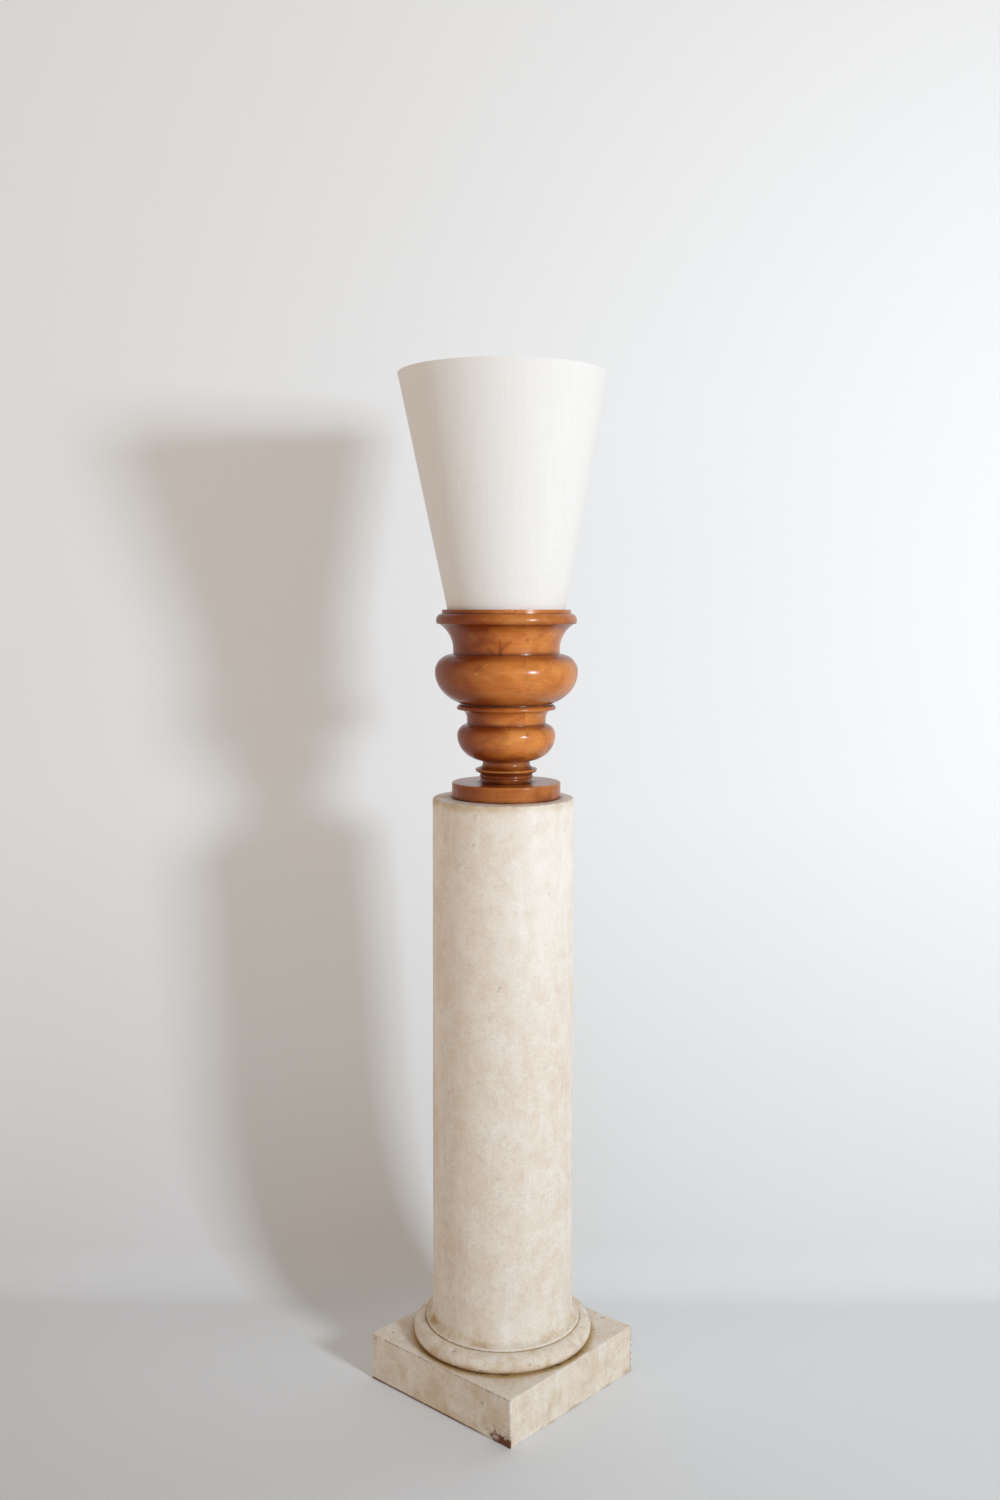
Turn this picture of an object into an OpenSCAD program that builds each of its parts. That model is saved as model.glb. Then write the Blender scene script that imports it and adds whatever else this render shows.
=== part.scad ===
// Floor lamp built on a Doric column: a square plinth, a round torus and a plain tapering shaft carry a
// turned wooden vase, and a linen shade shaped like an upturned cone stands in the mouth of the vase.
// Millimetres, +Z up. The origin is at the middle of the plinth's underside, and the plinth's sides
// run along X and Y.

/* [Column] */
// Height from the floor to the flat top of the shaft
column_h = 1089; // [700:1:1500]
// Radius of the shaft at its top
shaft_top_r = 127; // [105:0.5:155]
// Radius of the shaft just above its foot
shaft_foot_r = 129.5; // [107:0.5:157]
// Radius of the worn edge round the top of the shaft
shaft_edge = 1.5; // [0.5:0.5:4]
// How far the fillet at the foot of the shaft stands out from it
fillet_out = 12.5; // [8:0.5:16]
// Thickness of that fillet
fillet_h = 3; // [2:0.5:6]
// Radius of the hollow curve from the fillet up into the shaft
flare_r = 20; // [17:0.5:30]

/* [Torus and plinth] */
// How far the torus stands out beyond the fillet
torus_out = 22; // [16:0.5:30]
// Radius of the torus's round edge
torus_round = 19.5; // [17:0.5:24]
// Height of the torus
torus_h = 32; // [26:0.5:38]
// Margin of the plinth's top between the torus and each side
plinth_margin = 8; // [2:0.5:30]
// Height of the plinth
plinth_h = 87.5; // [50:0.5:140]

/* [Vase, foot] */
// How far to the side the vase stands off the column's axis, along X
vase_x = 4; // [-8:0.5:8]
// The same along Y
vase_y = 3.5; // [-8:0.5:8]
// Radius of the foot disc
disc_r = 97.5; // [75:0.5:118]
// Thickness of the foot disc
disc_h = 28; // [20:0.5:36]
// Radius of the disc's eased upper edge
disc_edge = 3; // [1:0.5:6]
// How far the foot of the waist spreads where it meets the disc
waist_spread = 5.5; // [2:0.5:12]
// Height of the waist, from the disc to the collar
waist_h = 19.5; // [12:0.5:28]
// How far the waist is set in from the collar
waist_in = 9.5; // [6:0.5:14]
// Height of the collar, a thin ring above the waist
collar_h = 5; // [3:0.5:9]
// How far the collar stands out from the stem
collar_out = 13; // [8:0.5:20]
// Radius of the stem between the collar and the cup
stem_r = 42.5; // [34:0.5:52]
// Height of the stem, with the slope that joins it to the collar
stem_h = 13.5; // [10:0.5:20]

/* [Vase, cup] */
// Radius of the cup at its widest
cup_r = 88; // [72:0.5:106]
// Height of the cup below its widest line
cup_low_h = 45.5; // [36:0.5:56]
// Height of the cup above its widest line
cup_top_h = 20.5; // [16:0.5:28]
// How far the neck above the cup is set in
cup_neck_in = 17.5; // [10:0.5:24]
// Height of that neck's upright part
cup_neck_h = 9.5; // [5:0.5:16]
// Height of the hollow curve from the neck out to the ring
ring_cove_h = 16; // [10:0.5:22]
// How far the ring between the cup and the bowl stands out from the neck
ring_out = 18; // [12:0.5:24]
// Height of the ring
ring_h = 9; // [6:0.5:14]
// How far the ring's sloping top draws in
ring_slope = 4.5; // [2:0.5:8]
// Depth of the groove between the ring and the bowl
groove_depth = 3; // [1:0.5:6]
// Height of that groove
groove_h = 2.5; // [1:0.5:5]

/* [Vase, bowl] */
// Radius of the bowl at its widest
bowl_r = 127.5; // [106:0.5:153]
// Height of the bowl below its widest line
bowl_low_h = 56; // [44:0.5:70]
// Height of the bowl above its widest line
bowl_top_h = 31.5; // [26:0.5:40]
// How far the neck above the bowl is set in
bowl_neck_in = 32.5; // [26:0.5:40]
// Height of that neck's upright part
bowl_neck_h = 8; // [4:0.5:14]
// Height of the hollow curve from the neck out to the rim
rim_cove_h = 45; // [36:0.5:56]
// Width of the rim's underside, outside the hollow curve
rim_lip = 4; // [2:0.5:6]
// Height of the rim's round edge
rim_h = 18.5; // [12:0.5:22]
// How far the rim's round edge stands out from the band on top of it
rim_out = 10.5; // [8:0.5:14]
// Height of the band
band_h = 7; // [5:0.5:12]
// Thickness of the band, outside the shade's seat
band_wall = 9; // [6:0.5:14]
// Thickness of the wall round the well, at the neck
well_wall = 11; // [8:0.5:16]
// Height of the well's bottom above the foot of the bowl
well_floor = 48; // [30:0.5:60]
// Radius of the round corner at the bottom of the well
well_corner = 14; // [6:0.5:24]

/* [Shade] */
// Outer radius of the shade at its foot
shade_foot_r = 103.5; // [92:0.5:125]
// Outer radius of the shade at its top
shade_top_r = 183; // [152:0.5:220]
// Height of the shade, from its foot to its top
shade_h = 415; // [340:1:500]
// Thickness of the lined linen
shade_wall = 2; // [1:0.5:4]
// Depth that the shade's foot is let into the vase
seat_depth = 6.5; // [3:0.5:10]
// Gap round the shade at the mouth of the vase
seat_gap = 1; // [0.5:0.5:3]
// Least width of the ledge that the shade stands on, inside its foot
seat_ledge = 6; // [3:0.5:12]
// How far the top ring has settled off the foot ring, along X
shade_lean_x = -5.5; // [-12:0.5:12]
// The same along Y
shade_lean_y = -5; // [-12:0.5:12]

/* [Hidden] */
plaster = "#ddd3c3";
wood = "#a9652f";
linen = "#ebe8e2";
arc_step = 7.5; // degrees of turn in each facet of a turned curve
through = 1;    // how far a cutter runs past a face
$fn = 96;

// Column: radii grow outwards from the shaft, and levels upwards from the floor.
fillet_r = shaft_foot_r + fillet_out;
torus_r = fillet_r + torus_out;
plinth_side = 2 * (torus_r + plinth_margin);
torus_z = plinth_h;
shaft_z = torus_z + torus_h;
shaft_h = column_h - shaft_z;
// Height at which a circle that is tangent to the shaft reaches out to the fillet's edge
flare_h = sqrt(pow(flare_r, 2) - pow(flare_r - fillet_out, 2));

// Vase: levels above the top of the column, each on the one below
collar_z = disc_h + waist_h;
stem_z = collar_z + collar_h;
cup_z = stem_z + stem_h;
cup_wide_z = cup_z + cup_low_h;
cup_neck_z = cup_wide_z + cup_top_h;
ring_cove_z = cup_neck_z + cup_neck_h;
ring_z = ring_cove_z + ring_cove_h;
groove_z = ring_z + ring_h;
bowl_z = groove_z + groove_h;
bowl_wide_z = bowl_z + bowl_low_h;
bowl_neck_z = bowl_wide_z + bowl_top_h;
rim_cove_z = bowl_neck_z + bowl_neck_h;
rim_z = rim_cove_z + rim_cove_h;
band_z = rim_z + rim_h;
vase_h = band_z + band_h;

// The seat is cut to the shade's own radius at the mouth, and the shade stands on its ledge.
shade_slope = (shade_top_r - shade_foot_r) / shade_h;
seat_r = shade_foot_r + seat_depth * shade_slope + seat_gap;
seat_z = vase_h - seat_depth;

// Vase: radii
collar_r = stem_r + collar_out;
waist_r = collar_r - waist_in;
cup_neck_r = cup_r - cup_neck_in;
ring_r = cup_neck_r + ring_out;
groove_r = ring_r - ring_slope - groove_depth;
bowl_neck_r = bowl_r - bowl_neck_in;
band_r = seat_r + band_wall;
rim_r = band_r + rim_out;
well_r = min(bowl_neck_r - well_wall, shade_foot_r - shade_wall - seat_ledge);
well_z = bowl_z + well_floor;

// Vase: the foot of the bowl reaches part of the way over the groove, and the rim's round edge turns
// in a little below its widest line.
bowl_foot_r = groove_r + groove_depth * 0.7;
rim_under_r = rim_r - rim_out / 6;

// Vase: levels within a moulding, each as a share of that moulding's height
waist_top_z = disc_h + waist_h * 0.8;
collar_wide_z = collar_z + collar_h / 2;
stem_top_z = stem_z + stem_h * 0.6;
ring_wide_z = ring_z + ring_h * 0.28;
rim_wide_z = rim_z + rim_h * 0.36;

// Sideways reach of the round arris of the collar and the ring
arris = 3;

// Ease of each turned curve that ends on a slope: 0 would bring it to its end level.
waist_ease = 14.5;
stem_ease = 4;
cup_low_ease = 4.5;
cup_top_ease = 3;
bowl_low_ease = 29.5;
rim_cove_ease = 28;
rim_under_ease = 9;

// An arc of an ellipse that leaves `start` upright and ends at `end`. With no ease it is a full quarter
// and ends level. `ease` widens the ellipse past `end` by that much, so the arc ends on a slope.
function sweep(start, end, ease = 0) =
    let (
        side = sign(end.x - start.x),
        reach = abs(end.x - start.x) + ease,
        turn = acos(ease / reach),
        rise = (end.y - start.y) / sin(turn),
        steps = ceil(turn / arc_step)
    )
    [for (i = [0:steps]) let (t = turn * i / steps)
        [start.x + side * reach * (1 - cos(t)), start.y + rise * sin(t)]];

// The same arc, drawn from `end` to `start`
function sweep_to(end, start, ease = 0) =
    let (arc = sweep(start, end, ease)) [for (i = [len(arc) - 1:-1:0]) arc[i]];

// Outline of the vase's right half, from the axis on the column up to the axis at the mouth
vase_outline = concat(
    [[0, 0], [disc_r, 0]],
    sweep([disc_r, disc_h - disc_edge], [disc_r - disc_edge, disc_h]),
    sweep_to([waist_r + waist_spread, disc_h], [waist_r, waist_top_z], waist_ease),
    [[waist_r, collar_z]],
    sweep_to([collar_r - arris, collar_z], [collar_r, collar_wide_z]),
    sweep([collar_r, collar_wide_z], [collar_r - arris, stem_z]),
    sweep_to([collar_r - arris, stem_z], [stem_r, stem_top_z], stem_ease),
    sweep_to([stem_r, cup_z], [cup_r, cup_wide_z], cup_low_ease),
    sweep([cup_r, cup_wide_z], [cup_neck_r, cup_neck_z], cup_top_ease),
    sweep([cup_neck_r, ring_cove_z], [ring_r - 2 * arris, ring_z]),
    sweep_to([ring_r - arris, ring_z], [ring_r, ring_wide_z]),
    [[ring_r - ring_slope, groove_z], [groove_r, groove_z], [groove_r, bowl_z]],
    sweep_to([bowl_foot_r, bowl_z], [bowl_r, bowl_wide_z], bowl_low_ease),
    sweep([bowl_r, bowl_wide_z], [bowl_neck_r, bowl_neck_z]),
    sweep([bowl_neck_r, rim_cove_z], [rim_under_r - rim_lip, rim_z], rim_cove_ease),
    sweep_to([rim_under_r, rim_z], [rim_r, rim_wide_z], rim_under_ease),
    sweep([rim_r, rim_wide_z], [band_r, band_z]),
    [[band_r, vase_h], [0, vase_h]]
);

// Square block under the whole column.
module plinth() {
    color(plaster)
    translate([-plinth_side / 2, -plinth_side / 2, 0])
    cube([plinth_side, plinth_side, plinth_h]);
}

// Round cushion moulding, cut flat where it beds on the plinth.
module torus() {
    color(plaster)
    translate([0, 0, torus_z])
    rotate_extrude()
    union() {
        square([torus_r - torus_round, torus_h]);
        intersection() {
            translate([torus_r - torus_round, torus_h - torus_round]) circle(torus_round);
            square([torus_r, torus_h]);
        }
    }
}

// Plain tapering shaft. Its foot flares out to a thin fillet.
module shaft() {
    flare_z = fillet_h + flare_h;
    color(plaster)
    translate([0, 0, shaft_z])
    rotate_extrude()
    union() {
        square([fillet_r, fillet_h]);
        difference() {
            translate([0, fillet_h / 2]) square([fillet_r, flare_z - fillet_h / 2]);
            translate([shaft_foot_r + flare_r, flare_z]) circle(flare_r);
            translate([fillet_r, 0]) square([through, flare_z]);
        }
        polygon([[0, fillet_h], [shaft_foot_r, flare_z], [shaft_top_r, shaft_h - shaft_edge],
                 [shaft_top_r - shaft_edge, shaft_h], [0, shaft_h]]);
    }
}

// The space turned out of the vase: the shade's seat, and the well below it with a round corner.
module well() {
    well_h = seat_z + through - well_z;
    translate([0, 0, seat_z]) cylinder(r = seat_r, h = seat_depth + through);
    translate([0, 0, well_z])
    rotate_extrude()
    union() {
        square([well_r - well_corner, well_h]);
        translate([0, well_corner]) square([well_r, well_h - well_corner]);
        translate([well_r - well_corner, well_corner]) circle(well_corner);
    }
}

// Turned vase, from the foot disc to the rim, in one piece.
module vase() {
    color(wood)
    translate([vase_x, vase_y, column_h])
    difference() {
        rotate_extrude() polygon(vase_outline);
        well();
    }
}

// Lined linen on its rings, open at both ends, and standing on the seat.
module shade() {
    lean_x = shade_lean_x / shade_h;
    lean_y = shade_lean_y / shade_h;
    inner_foot_r = shade_foot_r - shade_wall;
    inner_top_r = shade_top_r - shade_wall;
    color(linen)
    translate([vase_x, vase_y, column_h + seat_z])
    multmatrix([[1, 0, lean_x, 0], [0, 1, lean_y, 0], [0, 0, 1, 0], [0, 0, 0, 1]])
    difference() {
        cylinder(r1 = shade_foot_r, r2 = shade_top_r, h = shade_h);
        translate([0, 0, -through])
        cylinder(r1 = inner_foot_r - through * shade_slope, r2 = inner_top_r + through * shade_slope,
                 h = shade_h + 2 * through);
    }
}

plinth();
torus();
shaft();
vase();
shade();
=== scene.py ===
import math
import bpy
import numpy as np
from mathutils import Matrix, Vector


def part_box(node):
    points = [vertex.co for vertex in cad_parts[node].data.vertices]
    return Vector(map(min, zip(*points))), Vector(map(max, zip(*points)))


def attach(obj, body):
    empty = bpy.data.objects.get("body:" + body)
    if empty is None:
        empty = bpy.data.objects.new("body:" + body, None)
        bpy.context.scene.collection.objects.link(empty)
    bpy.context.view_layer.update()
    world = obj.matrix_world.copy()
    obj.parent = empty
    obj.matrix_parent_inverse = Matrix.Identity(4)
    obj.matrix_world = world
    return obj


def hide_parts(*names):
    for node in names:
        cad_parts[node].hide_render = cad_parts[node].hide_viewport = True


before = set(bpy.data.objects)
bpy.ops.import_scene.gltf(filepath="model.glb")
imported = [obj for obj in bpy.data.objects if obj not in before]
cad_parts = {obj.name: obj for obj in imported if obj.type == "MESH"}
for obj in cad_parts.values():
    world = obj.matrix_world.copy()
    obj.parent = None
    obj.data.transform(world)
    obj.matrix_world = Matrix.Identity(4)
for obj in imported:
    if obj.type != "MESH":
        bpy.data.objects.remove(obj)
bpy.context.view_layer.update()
mm = 0.001

# The lamp is looked at along one corner of its plinth. Places round the lamp are given as an angle to the
# right of that line of sight, and lights and backdrop stand right of it, beyond the lamp, and up.
sightTurn = math.radians(41.73)
toRight = np.array([math.cos(sightTurn), math.sin(sightTurn), 0.0])
toBack = np.array([-math.sin(sightTurn), math.cos(sightTurn), 0.0])
toSky = np.array([0.0, 0.0, 1.0])


# ---- shapes


def clouds(points, size, seed, layers=3):
    # Smooth random values from -1 to 1: a lattice of seeded numbers blended between its corners, with finer
    # layers of half the size and half the strength on top. Size is in millimetres.
    total = 0.0
    for layer in range(layers):
        lattice = np.random.default_rng(seed + layer).uniform(-1, 1, (32, 32, 32))
        place = points / (size * mm) * 2**layer + 16
        cell = np.floor(place).astype(int)
        share = place - cell
        share = share * share * (3 - 2 * share)
        for corner in np.ndindex(2, 2, 2):
            x, y, z = np.moveaxis((cell + corner) % 32, -1, 0)
            weight = np.where(corner, share, 1 - share).prod(-1)
            total += lattice[x, y, z] * weight / 2**layer
    return total / (2 - 0.5 ** (layers - 1))


def hump(away, width):
    # A smooth bell: 1 in the middle, about a third at one width away, and nothing far away.
    return np.exp(-((away / width) ** 2))


def ramp(value, low, high):
    # 0 below low, 1 above high, and a smooth rise between them.
    share = np.clip((value - low) / (high - low), 0, 1)
    return share * share * (3 - 2 * share)


def at(right, back, up):
    # The place that lies right of the column's axis, beyond it and up.
    return right * toRight + back * toBack + up * toSky


def atBearing(angle, out, up):
    # The place that lies out from the axis at an angle to the right of the line of sight, and up.
    turn = math.radians(angle)
    return at(out * math.sin(turn), -out * math.cos(turn), up)


def distance(points, place):
    # How far each point is from a place, in millimetres.
    return np.linalg.norm(points - place, axis=-1) / mm


def sweep(start, end, ease=0.0, steps=12):
    # An arc of an ellipse that leaves start upright and ends level at end, or on a slope if ease is more
    # than 0: x = start + reach (1 - cos t), z = start + rise sin t.
    reach = abs(end[0] - start[0]) + ease
    turn = math.acos(ease / reach)
    t = np.linspace(0, turn, steps + 1)
    side = math.copysign(reach, end[0] - start[0])
    rise = (end[1] - start[1]) / math.sin(turn)
    return np.stack([start[0] + side * (1 - np.cos(t)), start[1] + rise * np.sin(t)], 1)


def sweepTo(end, start, ease=0.0, steps=12):
    # The same arc, walked the other way.
    return sweep(start, end, ease, steps)[::-1]


def worked(outline, soften, spacing, bend=6):
    # The outline is walked in tiny steps, its corners are softened by averaging neighbours, and it is sampled
    # again: a row for each spacing along it, and for each few degrees that it turns.
    step = soften / 4
    legs = np.hypot(*np.diff(outline, axis=0).T)
    run = np.concatenate([[0], np.cumsum(legs)])
    walk = np.linspace(0, run[-1], int(run[-1] / step) + 1)
    dense = np.stack([np.interp(walk, run, outline[:, k]) for k in (0, 1)], 1)
    bell = np.hanning(11)[1:-1]
    ends = np.pad(dense, ((4, 4), (0, 0)), mode="reflect", reflect_type="odd")
    dense = np.stack([np.convolve(ends[:, k], bell / bell.sum(), "valid") for k in (0, 1)], 1)
    way = np.gradient(dense, axis=0)
    turn = np.abs(np.gradient(np.unwrap(np.arctan2(way[:, 1], way[:, 0]))))
    effort = np.cumsum(step / spacing + turn / math.radians(bend))
    picks = np.interp(np.linspace(effort[0], effort[-1], int(effort[-1]) + 1), effort, np.arange(len(dense)))
    place = [np.interp(picks, np.arange(len(dense)), dense[:, k]) for k in (0, 1)]
    way = [np.interp(picks, np.arange(len(dense)), way[:, k]) for k in (0, 1)]
    length = np.hypot(*way)
    return np.stack(place, 1), np.stack([way[1] / length, -way[0] / length], 1)


def turned(outline, facing, around, centre, dent, gather=0.0):
    # A solid of revolution: p = centre + r (cos a, sin a, 0) + z up. Its columns stand closer together in
    # front by the share gather. Each point then sinks in by the depth that dent gives, in millimetres.
    turn = np.arange(around) * 2 * math.pi / around
    angle = sightTurn - math.pi / 2 + turn - gather * np.sin(turn)
    out = np.stack([np.cos(angle), np.sin(angle), np.zeros(around)], 1)
    points = outline[:, None, :1] * mm * out + outline[:, None, 1:] * mm * toSky + np.asarray(centre)
    normals = facing[:, None, :1] * out + facing[:, None, 1:] * toSky
    return points - normals * dent(points)[..., None] * mm


def newPiece(name, vertices, faces):
    mesh = bpy.data.meshes.new(name)
    mesh.from_pydata(vertices.tolist(), [], faces)
    mesh.shade_smooth()
    piece = bpy.data.objects.new(name, mesh)
    bpy.context.scene.collection.objects.link(piece)
    return piece


def surfacePiece(name, grid, ageAndLight, sharp=None):
    # A closed skin from a grid of rows and columns: the last column joins the first, and a fan of triangles
    # closes the first and the last row. The three layers of age, which also hold painted light and shade, go
    # on as a colour attribute.
    rows, columns = grid.shape[:2]
    vertices = np.concatenate([grid.reshape(-1, 3), grid[:1].mean(1), grid[-1:].mean(1)])
    low = np.arange(rows - 1)[:, None] * columns
    here = np.arange(columns)
    beside = (here + 1) % columns
    quads = np.stack([low + here, low + beside, low + columns + beside, low + columns + here], -1)
    foot = np.stack([np.full(columns, rows * columns), beside, here], 1)
    last = (rows - 1) * columns
    head = np.stack([np.full(columns, rows * columns + 1), last + here, last + beside], 1)
    piece = newPiece(name, vertices, quads.reshape(-1, 4).tolist() + foot.tolist() + head.tolist())
    ageAndLight = np.clip(np.stack(ageAndLight, -1), 0, 1)
    flat = np.concatenate([ageAndLight.reshape(-1, 3), ageAndLight[:1].mean(1), ageAndLight[-1:].mean(1)])
    rgba = np.concatenate([flat, np.ones((len(flat), 1))], 1)
    layer = piece.data.color_attributes.new("ageAndLight", "FLOAT_COLOR", "POINT")
    layer.data.foreach_set("color", rgba.ravel())
    if sharp:
        piece.data.set_sharp_from_angle(angle=math.radians(sharp))
    return piece


def bearing(points, centre):
    # How far round the lamp a point is, in degrees to the right of the line of sight.
    away = points - np.asarray(centre)
    return np.degrees(np.arctan2(away @ toRight, -(away @ toBack)))


def lie(points, middle):
    # Where points lie about an upright axis: how high and how far out, in millimetres, and their bearing.
    away = (points - middle) / mm
    return away[..., 2], np.hypot(away[..., 0], away[..., 1]), bearing(points, middle)


# ---- materials


def colour(value):
    # An sRGB hex colour as linear light.
    parts = [int(value[k : k + 2], 16) / 255 for k in (1, 3, 5)]
    return (*[c / 12.92 if c <= 0.04045 else ((c + 0.055) / 1.055) ** 2.4 for c in parts], 1.0)


def addNode(tree, kind, links=None, **settings):
    # Adds one node. Settings are its own properties, and links sets each socket to a value or to the output
    # of another node.
    made = tree.nodes.new(kind)
    for key, value in settings.items():
        setattr(made, key, value)
    for key, value in (links or {}).items():
        if isinstance(value, bpy.types.NodeSocket):
            tree.links.new(value, made.inputs[key])
        else:
            made.inputs[key].default_value = value
    return made.outputs


def freshMaterial(name):
    material = bpy.data.materials.new(name)
    material.use_nodes = True
    material.node_tree.nodes.clear()
    return material, material.node_tree


def blended(tree, share, first, second, mode="MIX"):
    # The second colour over the first, by a share from 0 to 1.
    links = {0: share, 6: first, 7: second}
    return addNode(tree, "ShaderNodeMix", links, data_type="RGBA", blend_type=mode)[2]


def ranged(tree, value, source, target=(0.0, 1.0), kind="LINEAR"):
    # The value, carried from one range to another and kept inside it.
    links = {"Value": value, "From Min": source[0], "From Max": source[1]}
    links = {**links, "To Min": target[0], "To Max": target[1]}
    return addNode(tree, "ShaderNodeMapRange", links, interpolation_type=kind)[0]


def patches(tree, place, size, low, high, detail=3.0, rough=0.55, distortion=0.0):
    # Soft patches of a real size in millimetres: noise, cut to run from 0 at low to 1 at high.
    links = {"Vector": place, "Scale": 1 / (size * mm), "Detail": detail, "Roughness": rough}
    noise = addNode(tree, "ShaderNodeTexNoise", {**links, "Distortion": distortion})[0]
    return ranged(tree, noise, (low, high), kind="SMOOTHSTEP")


def grained(tree, place, size, detail):
    # Plain noise of a real size in millimetres.
    links = {"Vector": place, "Scale": 1 / (size * mm), "Detail": detail}
    return addNode(tree, "ShaderNodeTexNoise", links)[0]


def stretched(tree, place, scale):
    return addNode(tree, "ShaderNodeMapping", {"Vector": place, "Scale": scale})[0]


def sums(tree, operation, *values, **settings):
    return addNode(tree, "ShaderNodeMath", dict(enumerate(values)), operation=operation, **settings)[0]


def washed(tree, tint, where, strength, wash):
    # A thin wash of one colour over the tint, where the patches have it.
    return blended(tree, sums(tree, "MULTIPLY", where, strength), tint, colour(wash))


def bumped(tree, relief, strength, high):
    # Relief of a real height in millimetres.
    links = {"Height": relief, "Strength": strength, "Distance": high * mm}
    return addNode(tree, "ShaderNodeBump", links)[0]


def ageAndLightLayers(tree):
    # The three layers of age that a turned or moulded skin carries, which also hold painted light and shade.
    ageAndLight = addNode(tree, "ShaderNodeAttribute", attribute_name="ageAndLight")["Color"]
    return addNode(tree, "ShaderNodeSeparateColor", {0: ageAndLight})


def surfaced(tree, links):
    shader = addNode(tree, "ShaderNodeBsdfPrincipled", links)[0]
    addNode(tree, "ShaderNodeOutputMaterial", {"Surface": shader})


plasterLook = {
    "body": "#f1e9dd",
    "blush": "#e6d5c2",
    "ivory": "#f6f2ea",
    "vein": "#c9ae93",
    "rubbed": "#f8f4ee",
    "speck": "#8a6a50",
    "stain": "#d6bf90",
    "grimeAndShade": "#6a3d24",
    "patchSize": 48,  # mm, clouds of colour left by the stain rubbed into the plaster
    "patchDraw": 0.7,  # how little they change upwards, next to across
    "paleSize": 31.2,  # mm, pale clouds among them
    "paleShare": 0.6,
    "veinSize": 15,  # mm, the finer mottle inside them
    "veinShare": 0.45,
    "fineSize": 3.6,  # mm, the finest mottle
    "fineShare": 0.24,
    "streakSize": 21,  # mm, width of the downward rub marks
    "streakDraw": 0.16,
    "streakShare": 0.6,
    "speckSize": 2.6,  # mm, dirt in the pits
    "speckSpread": 60,  # mm, the patches where the pits gather
    "speckShare": 0.55,
    "breakSize": 9,  # mm, flecks at the edge of a stain
    "fleckSize": 3.6,  # mm, flecks at the edge of the dirt
    "grainSize": 1.6,  # mm, drawn coarser than the real half millimetre so that it shows
    "trowelSize": 14,  # mm, the uneven skin left by the trowel
    "reliefHigh": 0.35,  # mm
}


def agedPlaster():
    # Cast plaster, stained with thin washes and waxed to look like old limestone: matt, cloudy, pale on the
    # worn arrises and dark in every crevice from dirt and painted shade. The skin's age layer holds grime
    # with painted shade and shadow, stain, and wear with painted light.
    look = plasterLook
    material, tree = freshMaterial("agedPlaster")
    place = addNode(tree, "ShaderNodeTexCoord")["Object"]
    tall = stretched(tree, place, (1, 1, look["patchDraw"]))
    drawn = stretched(tree, place, (1, 1, look["streakDraw"]))
    grimeAndShade, stain, wearAndLight = ageAndLightLayers(tree)

    clouded = patches(tree, tall, look["patchSize"], 0.34, 0.74, 9, 0.72)
    tint = blended(tree, clouded, colour(look["body"]), colour(look["blush"]))
    pale = patches(tree, place, look["paleSize"], 0.46, 0.7, 8, 0.66)
    tint = washed(tree, tint, pale, look["paleShare"], look["ivory"])
    vein = patches(tree, place, look["veinSize"], 0.5, 0.76, 8, 0.78, 0.6)
    tint = washed(tree, tint, vein, look["veinShare"], look["vein"])
    streak = patches(tree, drawn, look["streakSize"], 0.5, 0.74, 5)
    tint = washed(tree, tint, streak, look["streakShare"], look["rubbed"])
    fine = patches(tree, place, look["fineSize"], 0.42, 0.68, 4, 0.7)
    tint = washed(tree, tint, fine, look["fineShare"], look["vein"])

    # Grime, which also holds painted shade and shadow, and stain are solid where they are thick, and break up
    # into flecks where they are thin.
    breakUp = patches(tree, place, look["breakSize"], 0.3, 0.7, 5, 0.7)
    thick = sums(tree, "MULTIPLY_ADD", stain, 1.35, -0.35)
    stained = sums(tree, "MAXIMUM", thick, sums(tree, "MULTIPLY", breakUp, stain))
    tint = blended(tree, stained, tint, colour(look["stain"]), "MULTIPLY")
    specks = patches(tree, place, look["speckSize"], 0.62, 0.76, 3, 0.6)
    gathered = patches(tree, place, look["speckSpread"], 0.36, 0.66)
    spots = sums(tree, "MULTIPLY", specks, gathered)
    tint = washed(tree, tint, spots, look["speckShare"], look["speck"])
    # Wear goes on in the rubbed colour; on the shaft this layer also holds painted light.
    tint = blended(tree, wearAndLight, tint, colour(look["rubbed"]))
    fleck = patches(tree, place, look["fleckSize"], 0.36, 0.6, 4, 0.7)
    thick = sums(tree, "MULTIPLY_ADD", grimeAndShade, 2.0, -1.0, use_clamp=True)
    dirty = sums(tree, "MAXIMUM", sums(tree, "MULTIPLY", grimeAndShade, fleck), thick)
    tint = blended(tree, dirty, tint, colour(look["grimeAndShade"]))

    grain = grained(tree, place, look["grainSize"], 3.0)
    trowel = grained(tree, drawn, look["trowelSize"], 4.0)
    relief = sums(tree, "MULTIPLY_ADD", trowel, 2.2, grain)
    relief = sums(tree, "MULTIPLY_ADD", spots, -0.8, relief)
    bump = bumped(tree, relief, 0.55, look["reliefHigh"])
    dull = ranged(tree, trowel, (0, 1), (0.5, 0.72))
    surfaced(tree, {"Base Color": tint, "Roughness": dull, "Normal": bump, "Specular IOR Level": 0.35})
    return material


woodLook = {
    "honey": "#dd8941",
    "russet": "#c06b2a",
    "umber": "#742a09",
    "amber": "#e2a254",
    "grimeAndShade": "#2a120a",
    "fibre": 5,  # mm, width of the streaks of grain
    "fibreShare": 0.16,
    "cloud": 36,  # mm, the mottle that moves with the light in fruitwood
    "flame": 25.2,  # mm, the paler mottle inside it
    "flameShare": 0.55,
    "ring": 7,  # mm, spacing of the growth rings
    "ringShare": 0.07,
    "joint": 33,  # mm, how far right of the middle the glued joint runs
    "nextBlock": (0.31, 0.17, 0.23),  # m, how far off in its tree the block right of the joint grew
    "nextPaler": 0.1,
    "ripple": 3,  # mm, the raised grain under the polish
    "rippleHigh": 0.12,
}


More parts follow.
